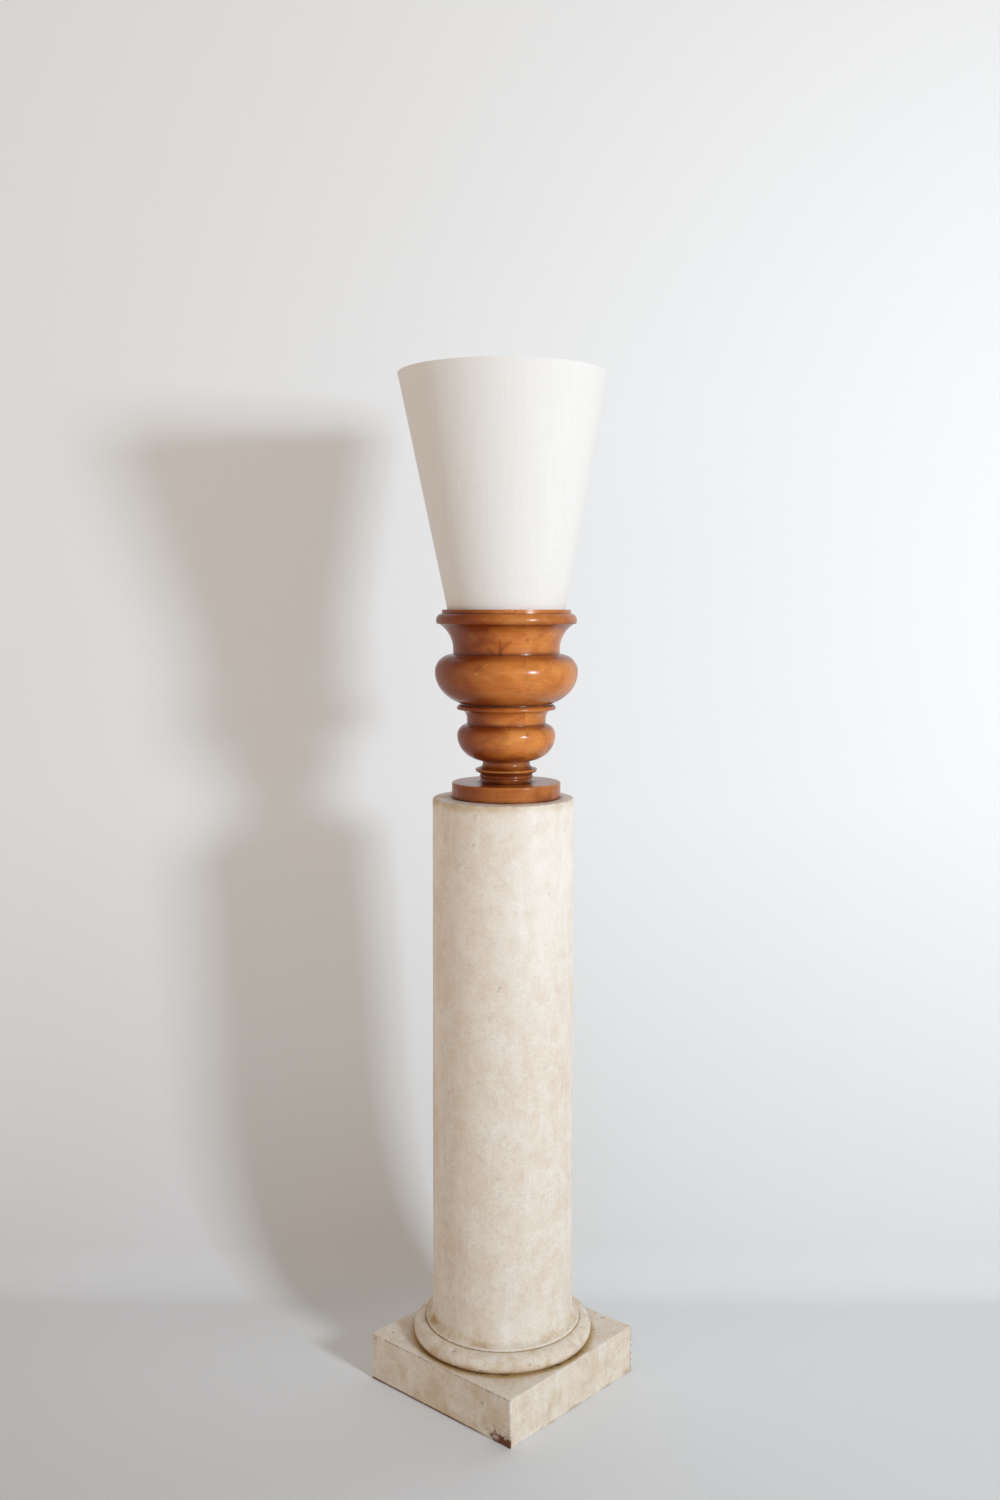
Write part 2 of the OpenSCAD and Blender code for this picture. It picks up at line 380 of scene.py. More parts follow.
def polishedFruitwood():
    # Turned fruitwood, glued up from two blocks, stained honey brown and French polished: a warm mottled body
    # under a clear shellac coat that mirrors the lamps. The age layer holds grime with painted shade, dark
    # figure with painted shade, and wear with a painted highlight.
    look = woodLook
    material, tree = freshMaterial("polishedFruitwood")
    place = addNode(tree, "ShaderNodeTexCoord")["Object"]
    low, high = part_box("vase")
    middle = (low + high) / 2
    level = addNode(tree, "ShaderNodeMapping", {"Vector": place, "Rotation": (0, 0, -sightTurn)})[0]
    across = addNode(tree, "ShaderNodeSeparateXYZ", {0: level})[0]
    edge = float(np.dot(np.array(middle), toRight)) + look["joint"] * mm
    right = sums(tree, "GREATER_THAN", across, edge)
    links = {0: look["nextBlock"], "Scale": right}
    shifted = addNode(tree, "ShaderNodeVectorMath", links, operation="SCALE")[0]
    block = addNode(tree, "ShaderNodeVectorMath", {0: level, 1: shifted}, operation="ADD")[0]
    along = stretched(tree, block, (0.16, 1, 1))
    links = {"Vector": block, "Scale": (0.5, 1, 1), "Rotation": (0.25, 0.2, 0)}
    soft = addNode(tree, "ShaderNodeMapping", links)[0]
    grimeAndShade, figureAndShade, wearAndLight = ageAndLightLayers(tree)

    clouded = patches(tree, soft, look["cloud"], 0.36, 0.68, 4, 0.5, 0.4)
    tint = blended(tree, clouded, colour(look["honey"]), colour(look["russet"]))
    flame = patches(tree, soft, look["flame"], 0.48, 0.76, 4, 0.55, 0.3)
    tint = washed(tree, tint, flame, look["flameShare"], look["amber"])
    streak = patches(tree, along, look["fibre"], 0.45, 0.75, 5, 0.6)
    tint = washed(tree, tint, streak, look["fibreShare"], look["umber"])
    heart = addNode(tree, "ShaderNodeMapping", {"Vector": along, "Location": (0, 0.12, 0.2)})[0]
    links = {"Vector": heart, "Scale": 0.3 / (look["ring"] * mm), "Distortion": 3.0, "Detail": 3.0}
    rings = addNode(tree, "ShaderNodeTexWave", links, wave_type="RINGS", rings_direction="X")["Fac"]
    tint = washed(tree, tint, rings, look["ringShare"], look["umber"])
    tint = washed(tree, tint, right, look["nextPaler"], look["amber"])
    # Umber for the dark figure and the painted shade, amber for wear and a painted highlight, and the grime
    # colour for dirt with painted shade.
    tint = blended(tree, figureAndShade, tint, colour(look["umber"]))
    tint = blended(tree, wearAndLight, tint, colour(look["amber"]))
    tint = blended(tree, grimeAndShade, tint, colour(look["grimeAndShade"]))

    ripple = grained(tree, along, look["ripple"], 4.0)
    gloss = ranged(tree, ripple, (0, 1), (0.3, 0.4))
    links = {"Base Color": tint, "Roughness": gloss, "IOR": 1.5, "Specular IOR Level": 0.08}
    links["Normal"] = bumped(tree, ripple, 0.25, look["rippleHigh"])
    surfaced(tree, {**links, "Coat Weight": 0.5, "Coat Roughness": 0.19, "Coat IOR": 1.5})
    return material


linenLook = {
    "yarn": "#eceae7",
    "shadowYarn": "#e6e0d8",
    "slub": "#f6f4f1",
    "warpSize": 3.6,  # mm between the thicker upright threads that show
    "warpShare": 0.4,
    "weftSize": 5.0,  # mm between those that run round
    "weftShare": 0.26,
    "slubSize": 2.52,  # mm, the thick pale stretches of a thread
    "slubShare": 0.6,
    "threadSize": 1.4,  # mm, drawn at twice the real spacing so that it shows
    "reliefHigh": 0.25,  # mm
}


def slubbyLinen():
    # Plain-woven linen bonded to a stiff liner: matt, off-white, with thick and thin threads both ways. The
    # pattern lies on the flat cut, so it runs straight in the cloth and slants across the sides of the cone.
    look = linenLook
    material, tree = freshMaterial("slubbyLinen")
    cloth = addNode(tree, "ShaderNodeUVMap", uv_map="cloth")[0]
    warp = stretched(tree, cloth, (1, 0.022, 1))
    weft = stretched(tree, cloth, (0.03, 1, 1))
    thread = patches(tree, warp, look["warpSize"], 0.42, 0.7, 5, 0.75)
    tint = washed(tree, colour(look["yarn"]), thread, look["warpShare"], look["shadowYarn"])
    thread = patches(tree, weft, look["weftSize"], 0.5, 0.72, 4, 0.7)
    tint = washed(tree, tint, thread, look["weftShare"], look["shadowYarn"])
    thick = patches(tree, warp, look["slubSize"], 0.6, 0.72, 3)
    tint = washed(tree, tint, thick, look["slubShare"], look["slub"])
    links = {"Vector": cloth, "Scale": 0.5 / (look["threadSize"] * mm), "Distortion": 1.5, "Detail": 2.0}
    upright = addNode(tree, "ShaderNodeTexWave", links, bands_direction="X")["Fac"]
    level = addNode(tree, "ShaderNodeTexWave", links, bands_direction="Y")["Fac"]
    weave = sums(tree, "MAXIMUM", upright, level)
    relief = sums(tree, "MULTIPLY_ADD", grained(tree, warp, look["warpSize"], 4.0), 1.5, weave)
    links = {"Base Color": tint, "Roughness": 0.9, "Specular IOR Level": 0.2, "Sheen Weight": 0.15}
    links["Normal"] = bumped(tree, relief, 0.3, look["reliefHigh"])
    surfaced(tree, links)
    return material


linerLook = {
    "paper": "#efece4",
    "yellowed": "#e5dfd2",
    "mottleSize": 40,  # mm
    "grainSize": 2,
    "reliefHigh": 0.1,
}


def paperLiner():
    # The shade's stiff white liner: smooth laminated paper, slightly yellowed, with a faint mottle.
    look = linerLook
    material, tree = freshMaterial("paperLiner")
    place = addNode(tree, "ShaderNodeTexCoord")["Object"]
    mottle = patches(tree, place, look["mottleSize"], 0.4, 0.7)
    tint = blended(tree, mottle, colour(look["paper"]), colour(look["yellowed"]))
    bump = bumped(tree, grained(tree, place, look["grainSize"], 3.0), 0.2, look["reliefHigh"])
    surfaced(tree, {"Base Color": tint, "Roughness": 0.7, "Normal": bump, "Specular IOR Level": 0.3})
    return material


def finish(piece, material):
    piece.data.materials.append(material)
    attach(piece, "root")
    return piece


# ---- the column

plinth = {
    "perSide": 110,
    "gather": 0.65,  # how much closer the points stand near the corners
    "arris": 1.6,  # mm, least rounding of the edges
    "wornBy": 3.2,  # mm, how much more the softest stretches have lost
    "sideRows": 46,
    "topRows": 60,
}


def squareRing(perSide):
    # A unit square walked round its middle, with points gathered near its corners.
    share = np.arange(perSide) / perSide
    t = plinth["gather"] * (1 - np.cos(math.pi * share)) + (1 - plinth["gather"]) * 2 * share - 1
    one = np.ones(perSide)
    return np.concatenate([np.stack(side, 1) for side in ((one, t), (-t, one), (-one, -t), (t, -one))])


def jointDirt(angle):
    # How thick the dirt is in the joint under the torus: a long dark stretch at the left, and short ones at
    # the bearings listed, each with its width in degrees.
    long = ramp(angle, -78, -58) * (1 - ramp(angle, -24, -8))
    places = [(-13, 5), (2, 3), (34, 7), (56, 9), (120, 14)]
    short = sum(hump(angle - middle, width) for middle, width in places)
    front = ramp(angle, -30, -10) * (1 - ramp(angle, 52, 74))
    return np.clip(0.3 + 0.75 * long + 0.5 * short + 0.3 * front, 0, 1)


def plinthSkin(half, tall):
    # A square block, first with sharp edges and then worn. Every point is pulled to a sphere round the
    # nearest point of a smaller block, which rounds the edges by a radius that changes along them. The last
    # value is how near each point is to the faces: 0 at the middle and 1 on a face, for each axis.
    ring = squareRing(plinth["perSide"]) * half

    def stacked(share, height):
        # One ring for each row, drawn in by a share and lifted to a height.
        flat = ring * share[:, None, None]
        return np.concatenate([flat, np.broadcast_to(height[:, None, None], (*flat.shape[:2], 1))], 2)

    rise = (1 - np.cos(math.pi * np.linspace(0, 1, plinth["sideRows"]))) / 2 * tall
    inward = 1 - np.linspace(0, 1, plinth["topRows"])[1:-1] ** 1.6
    top = stacked(inward, np.full(len(inward), tall))
    under = top[::-6] * [1, 1, 0]
    sharp = np.concatenate([under, stacked(np.ones(len(rise)), rise), top])

    # The edges are worn all along, and three corners are chipped: place, width and depth in mm.
    reach = half * math.sqrt(2)
    worn = plinth["arris"] + plinth["wornBy"] * np.clip(clouds(sharp, 55, 11), 0, 1)
    worn += 0.8 * clouds(sharp, 9, 21)
    chips = [((reach, 0, tall), 14, 6.5), ((reach, 0, 0), 8, 4), ((0, -reach, tall), 6, 2.5)]
    for corner, width, deep in chips:
        worn += deep * hump(distance(sharp, at(*corner)), width)
    broken = hump(distance(sharp, at(-0.004, -reach, 0.004)), 12)
    worn += 7 * broken * (0.7 + 0.5 * clouds(sharp, 5, 31))
    radius = np.clip(worn, 0.8, 14)[..., None] * mm
    inner = np.clip(sharp, [-half, -half, 0] + radius, [half, half, tall] - radius)
    away = sharp - inner
    grid = inner + radius * away / np.maximum(np.linalg.norm(away, axis=-1, keepdims=True), 1e-9)

    # The faces themselves are slightly uneven, but never proud of the block.
    toMiddle = grid - [0, 0, tall / 2]
    flat = np.abs(toMiddle) / [half, half, tall / 2]
    face = (flat > 0.97) * np.sign(toMiddle)
    uneven = (grid[..., 2] > 2 * mm) * (0.25 + 0.25 * clouds(grid, 38, 41) + 0.12 * clouds(grid, 11, 43))
    return sharp, grid - face * uneven[..., None] * mm, flat


def makePlinth(material):
    high = np.array(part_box("plinth")[1])
    sharp, grid, flat = plinthSkin(high[0], high[2])
    half, tall = high[0] / mm, high[2] / mm
    height, span, angle = lie(grid, np.zeros(3))
    onTop = ramp(height, tall - 3, tall - 0.5)
    fromJoint = span - torus["footRadius"]
    joint = jointDirt(angle)
    grimeAndShade = 0.8 * onTop * joint * hump(fromJoint, 1.4 + 2.9 * joint)
    spill = hump(fromJoint - 4, 6) * ramp(clouds(grid, 5, 47, 3), 0.05, 0.45) * ramp(joint, 0.4, 0.8)
    grimeAndShade += 0.55 * onTop * spill * ramp(angle, -40, 0)

    # A brown stain creeps up the left face from its front corner, with a ring and flecks round it.
    along = half - grid[..., 0] / mm
    leftFace = ramp(-grid[..., 1] / mm, half - 4, half - 1)
    blot = 1.5 * hump(along - 6 + 9 * clouds(grid, 9, 51), 36)
    blot = blot * hump(height - 2, 9 + 11 * hump(along, 26))
    ring = hump(np.hypot((along - 31) / 1.7, height - 9) - 7 - 3 * clouds(grid, 9, 56), 2.8)
    ring = ring * ramp(height, 3, 9)
    flecks = hump(along - 30, 30) * hump(height - 16, 18) * ramp(clouds(grid, 4, 57, 2), 0.1, 0.5)
    blot = blot * (0.9 + 0.7 * clouds(grid, 6, 53)) + 0.7 * ring + 0.7 * flecks
    speck = hump(np.hypot(along - 66, height - 58), 3.2)
    arrisLine = hump(tall - height - 2.4, 1.2) * ramp(clouds(grid, 13, 59), -0.35, 0.25)
    grimeAndShade += leftFace * (np.clip(blot, 0, 1) + 0.9 * speck + 0.75 * arrisLine)

    # Dirt at the right foot, up the right arris and in patches, and a painted shadow along the floor,
    # heaviest under the left face.
    reach = half * mm * math.sqrt(2)
    grimeAndShade += 0.9 * hump(distance(sharp, at(reach - 0.004, -0.006, 0.004)), 9)
    grimeAndShade += 0.5 * hump(np.hypot(grid[..., 0] / mm - half, grid[..., 1] / mm - half) - 3, 3)
    grimeAndShade += 0.7 * ramp(clouds(grid, 16, 61, 4), 0.42, 0.62) * ramp(flat.min(-1), 0.2, 0.9)
    floorShadow = 0.5 * ramp(clouds(grid, 30, 71), -0.2, 0.3) + 1.2 * leftFace * ramp(along, 50, 130)
    grimeAndShade += floorShadow * (1 - ramp(height, 1.5, 5))
    stain = onTop * (0.8 * hump(fromJoint - 3, 8) + 0.12 * (1 - ramp(fromJoint, 0, 40)))
    stain += 0.34 - 0.16 * onTop + 0.25 * ramp(clouds(grid, 45, 81), 0.1, 0.5)
    edges = (flat > 0.985).sum(-1) >= 2
    wearAndLight = edges * ramp(clouds(grid, 24, 91), -0.1, 0.4) * 0.5
    wearAndLight += 0.2 * ramp(clouds(grid, 22, 101), 0.1, 0.5) * (1 - onTop)
    piece = surfacePiece("plinthBlock", grid, (grimeAndShade, stain, wearAndLight))
    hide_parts("plinth")
    return finish(piece, material)


torus = {
    "round": 19.5,  # mm, radius of the cushion's edge
    "around": 360,
    "footRadius": 159.5,  # mm, where the cushion meets the plinth
}


def makeTorus(material):
    # A cushion: a flat disc with a round edge, turned about the column's axis.
    low, high = (np.array(v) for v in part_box("torus"))
    outer, foot, top = high[0] / mm, low[2] / mm, high[2] / mm
    radius = torus["round"]
    t = np.linspace(-math.asin((top - radius - foot) / radius), math.pi / 2, 40)
    arc = np.stack([outer - radius + radius * np.cos(t), top - radius + radius * np.sin(t)], 1)
    outline, facing = worked(np.concatenate([[[40, foot]], arc, [[120, top], [60, top]]]), 1.2, 1.5)
    pit = atBearing(-13.5, outer - 3.5, foot + 7) * mm

    def dent(points):
        height = points[..., 2] / mm - foot
        lip = hump(height, 2.2) * (0.5 + 1.3 * ramp(clouds(points, 14, 12), -0.1, 0.6))
        pits = 1.6 * ramp(clouds(points, 7, 22, 2), 0.58, 0.85) + 1.5 * hump(distance(points, pit), 2.6)
        uneven = 0.3 + 0.3 * clouds(points, 45, 32) + 0.15 * clouds(points, 12, 42)
        return uneven * (height > 0.01) + lip + pits

    grid = turned(outline, facing, torus["around"], (0, 0, 0), dent)
    height, span, angle = lie(grid, [0, 0, low[2]])
    joint = jointDirt(angle)
    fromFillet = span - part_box("shaft")[1][0] / mm - 0.5
    # A dark joint where the fillet stands on the cushion, with painted shade that is heaviest on the left,
    # away from the lamp, and lightest on the right.
    filletLineAndShade = 0.3 + 0.5 * ramp(-angle, -10, 70) - 0.2 * ramp(angle, 20, 50)
    grimeAndShade = 0.78 * joint * hump(height, 1.3 + 2.9 * joint)
    grimeAndShade += filletLineAndShade * ramp(height, 29, 31) * hump(fromFillet, 1.1)
    grimeAndShade += 1.2 * hump(distance(grid, pit), 2.4) + 0.8 * ramp(clouds(grid, 7, 22, 2), 0.5, 0.8)
    stain = 0.3 + 0.3 * ramp(clouds(grid, 13, 72, 4), -0.1, 0.5) + 0.55 * hump(height, 8)
    stain += 0.8 * hump(fromFillet, 1.8)
    stain += 0.3 * ramp(clouds(grid, 40, 52), -0.1, 0.5) * (1 - ramp(height, 16, 30))
    wearAndLight = 0.4 * ramp(clouds(grid, 30, 62), 0, 0.5) * hump(height - 24, 9)
    piece = surfacePiece("torusRing", grid, (grimeAndShade, stain, wearAndLight))
    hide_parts("torus")
    return finish(piece, material)


shaft = {
    "filletHigh": 3.0,  # mm
    "footRadius": 129.5,
    "topRadius": 127.0,
    "flare": 20.0,  # mm, radius of the hollow curve above the fillet
    "edge": 1.5,
    "around": 290,
}


def makeShaft(material):
    # A tapering drum: fillet, a quarter-round hollow, a straight side and a flat top.
    low, high = (np.array(v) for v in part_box("shaft"))
    outer, foot, top = high[0] / mm, low[2] / mm, high[2] / mm
    flare, base, edge = shaft["flare"], shaft["footRadius"], shaft["edge"]
    rise = math.sqrt(flare**2 - (flare - (outer - base)) ** 2)
    t = np.linspace(math.asin(rise / flare), 0, 24)
    hollowTop = foot + shaft["filletHigh"] + rise
    hollow = np.stack([base + flare - flare * np.cos(t), hollowTop - flare * np.sin(t)], 1)
    rim = [[shaft["topRadius"], top - edge], [shaft["topRadius"] - edge, top], [60, top]]
    outline, facing = worked(np.concatenate([[[60, foot], [outer, foot]], hollow, rim]), 0.9, 4.2)
    outline[:, 1] = np.clip(outline[:, 1], foot, top)

    def dent(points):
        height, span, _ = lie(points, np.zeros(3))
        side = (height > foot + 0.3) * (height < top - 0.01)
        swell = 0.4 + 0.35 * clouds(points, 90, 13) + 0.12 * clouds(points, 22, 23)
        nearTop = hump(height - top, 4) * ramp(span, 118, 124)
        chips = nearTop * (0.4 + 3.2 * ramp(clouds(points, 12, 33), 0.15, 0.75))
        filletWear = 0.7 * ramp(clouds(points, 18, 43), 0.1, 0.6) * hump(height - foot - 3, 2)
        return swell * side + chips + filletWear * side

    grid = turned(outline, facing, shaft["around"], (0, 0, 0), dent)
    height, _, angle = lie(grid, np.zeros(3))
    over, below = height - foot, top - height
    topFace = ramp(height, top - 1, top - 0.2)

    # Dirt in the hollow and in patches; a dark joint under the fillet, with painted shade that is heavier on
    # the left; and a painted shadow round the vase's disc on the top.
    grimeAndShade = hump(over - 5.5, 5) * (over > 3.4) * (0.03 + 0.16 * ramp(clouds(grid, 26, 53), 0, 0.6))
    grimeAndShade += hump(over, 0.9) * (0.25 + 0.6 * ramp(-angle, -10, 70))
    fromDisc = distance(grid, vaseFoot()) - vase["discRadius"]
    grimeAndShade += topFace * (0.85 * hump(fromDisc, 2.2) + 0.25 * hump(fromDisc, 9))
    grimeAndShade += 0.55 * ramp(clouds(grid, 20, 63, 4), 0.5, 0.75)

    # Brown at the foot, least in front, and in a band under the top.
    stain = 0.42 * hump(over - 6, 14 + 14 * clouds(grid, 26, 73)) * (over > 3)
    stain = stain * (1 + 0.9 * clouds(grid, 15, 75))
    stain += 0.45 * hump(over - 9, 8) * ramp(-angle, 30, 60) * ramp(clouds(grid, 16, 77), -0.2, 0.3)
    stain = stain * (0.6 + 0.4 * ramp(np.abs(angle - 8), 6, 26)) + 0.12 * (1 - ramp(height, 350, 850))
    band = (1 - ramp(below + 9 * clouds(grid, 26, 83), 2, 22)) * (1 - topFace)
    stain += 0.75 * band + 0.3 * topFace * ramp(clouds(grid, 24, 93), -0.1, 0.4)
    stain += 0.12 * ramp(clouds(grid * [1, 1, 0.5], 60, 103), 0.15, 0.55)

    # Painted light on the upper right, the side toward the lamp; rubbed pale low in front and on the two
    # arrises.
    litAndRubbed = 0.45 * ramp(height, 600, 1000) * ramp(angle, -10, 30) * (0.7 + 0.8 * clouds(grid, 40, 123))
    litAndRubbed += 0.5 * hump(angle - 2, 13) * hump(over - 30, 26) * (0.8 + 0.8 * clouds(grid, 22, 133))
    wearAndLight = litAndRubbed * (1 - topFace) + 0.3 * hump(over - 3, 0.9) * (over > 1.5)
    wearAndLight += 0.5 * hump(below, 2.2) * ramp(clouds(grid, 15, 113), -0.2, 0.3)
    piece = surfacePiece("shaftDrum", grid, (grimeAndShade, stain, wearAndLight), sharp=50)
    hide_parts("shaft")
    return finish(piece, material)


# ---- the vase

vase = {
    "discHigh": 28.0,  # mm, and so are the sizes below
    "discRadius": 97.5,
    "discEdge": 3.0,
    "waistHigh": 19.5,
    "waistIn": 9.5,
    "waistSpread": 8.5,
    "beadDown": 11.5,  # from the collar's foot to the foot of the bead under it
    "beadHigh": 5.6,
    "beadOut": 1.8,
    "collarUnder": 3.2,
    "collarHigh": 5.0,
    "collarOut": 13.0,
    "stemRadius": 42.5,
    "stemHigh": 13.5,
    "cupRadius": 88.0,
    "cupLow": 45.5,
    "cupTop": 20.5,
    "cupNeckIn": 17.5,
    "cupNeckHigh": 9.5,
    "ringCove": 16.0,
    "ringOut": 18.0,
    "ringHigh": 9.0,
    "ringSlope": 4.5,
    "grooveDeep": 3.0,
    "grooveHigh": 2.5,
    "bowlLow": 56.0,
    "bowlTop": 31.5,
    "bowlNeckIn": 32.5,
    "bowlNeckHigh": 8.0,
    "rimCove": 45.0,
    "rimLip": 4.0,
    "rimHigh": 18.5,
    "rimOut": 10.5,
    "bandWall": 9.0,
    "seatRadius": 105.75,
    "seatDeep": 6.5,
    "wellRadius": 84.0,
    "wellDeep": 111.5,
    "wellCorner": 14.0,
    "arris": 3.0,
    "around": 224,  # columns
    "gather": 0.36,  # how much closer the columns stand in front
}


def vaseFoot():
    # The middle of the vase's underside, which stands a little off the column's axis.
    low, high = (np.array(v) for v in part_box("vase"))
    return np.array([(low[0] + high[0]) / 2, (low[1] + high[1]) / 2, low[2]])


def vaseLevels():
    # Height of the foot of each moulding above the column.
    steps = ["discHigh", "waistHigh", "collarHigh", "stemHigh", "cupLow", "cupTop", "cupNeckHigh", "ringCove"]
    steps += ["ringHigh", "grooveHigh", "bowlLow", "bowlTop", "bowlNeckHigh", "rimCove", "rimHigh"]
    names = ["collarFoot", "stemFoot", "cupFoot", "cupWide", "cupNeck", "ringCoveFoot", "ring", "groove"]
    names = ["disc", *names, "bowl", "bowlWide", "bowlNeck", "rimCoveFoot", "rim", "band"]
    heights = np.cumsum([vase[step] for step in steps])
    levels = dict(zip(names, heights))
    levels["bead"] = levels["collarFoot"] - vase["beadDown"]
    return levels


def vaseOutline(tall, widest):
    # Straight runs and elliptical arcs from the edge of the foot disc, up the outside, over the mouth and
    # down the inside of the well.
    v, z = vase, vaseLevels()
    arris, disc = v["arris"], v["discRadius"]
    collar = v["stemRadius"] + v["collarOut"]
    waist = collar - v["waistIn"]
    collarWide = z["collarFoot"] + v["collarHigh"] / 2
    beadWide = z["bead"] + v["beadHigh"] / 2
    stemTop = z["stemFoot"] + v["stemHigh"] * 0.6
    cupNeck = v["cupRadius"] - v["cupNeckIn"]
    ring = cupNeck + v["ringOut"]
    ringWide = z["ring"] + v["ringHigh"] * 0.28
    groove = ring - v["ringSlope"] - v["grooveDeep"]
    bowlFoot = groove + v["grooveDeep"] * 0.7
    bowlNeck = widest - v["bowlNeckIn"]
    band = v["seatRadius"] + v["bandWall"]
    rim = band + v["rimOut"]
    rimUnder = rim - v["rimOut"] / 6
    rimWide = z["rim"] + v["rimHigh"] * 0.36
    seat, well = tall - v["seatDeep"], v["wellRadius"]
    wellFloor, corner = tall - v["seatDeep"] - v["wellDeep"], v["wellCorner"]
    return np.concatenate(
        [
            [[30, 0], [disc, 0]],
            sweep([disc, z["disc"] - v["discEdge"]], [disc - v["discEdge"], z["disc"]]),
            sweepTo([waist + v["waistSpread"], z["disc"]], [waist, z["bead"]], 3),
            sweepTo([waist, z["bead"]], [waist + v["beadOut"], beadWide]),
            sweep([waist + v["beadOut"], beadWide], [waist, z["bead"] + v["beadHigh"]])[1:],
            sweepTo([waist + v["beadOut"], z["collarFoot"] - v["collarUnder"]], [collar, collarWide], 7),
            sweep([collar, collarWide], [collar - arris, z["stemFoot"]])[1:],
            sweepTo([collar - arris, z["stemFoot"]], [v["stemRadius"], stemTop], 4)[1:],
            sweepTo([v["stemRadius"], z["cupFoot"]], [v["cupRadius"], z["cupWide"]], 4.5),
            sweep([v["cupRadius"], z["cupWide"]], [cupNeck, z["cupNeck"]], 3)[1:],
            sweep([cupNeck, z["ringCoveFoot"]], [ring - 2 * arris, z["ring"]]),
            sweepTo([ring - arris, z["ring"]], [ring, ringWide]),
            sweep([ring, ringWide], [ring - v["ringSlope"], z["groove"]], 3)[1:],
            [[groove, z["groove"]], [groove, z["bowl"]]],
            sweepTo([bowlFoot, z["bowl"]], [widest, z["bowlWide"]], 29.5, 24),
            sweep([widest, z["bowlWide"]], [bowlNeck, z["bowlNeck"]], 0, 20)[1:],
            sweep([bowlNeck, z["rimCoveFoot"]], [rimUnder - v["rimLip"], z["rim"]], 28, 20),
            sweepTo([rimUnder, z["rim"]], [rim, rimWide], 9),
            sweep([rim, rimWide], [band, z["band"]], 0, 16)[1:],
            [[band, tall], [v["seatRadius"], tall], [v["seatRadius"], seat], [well, seat]],
            sweep([well, wellFloor + corner], [well - corner, wellFloor]),
            [[20, wellFloor]],
        ]
    )


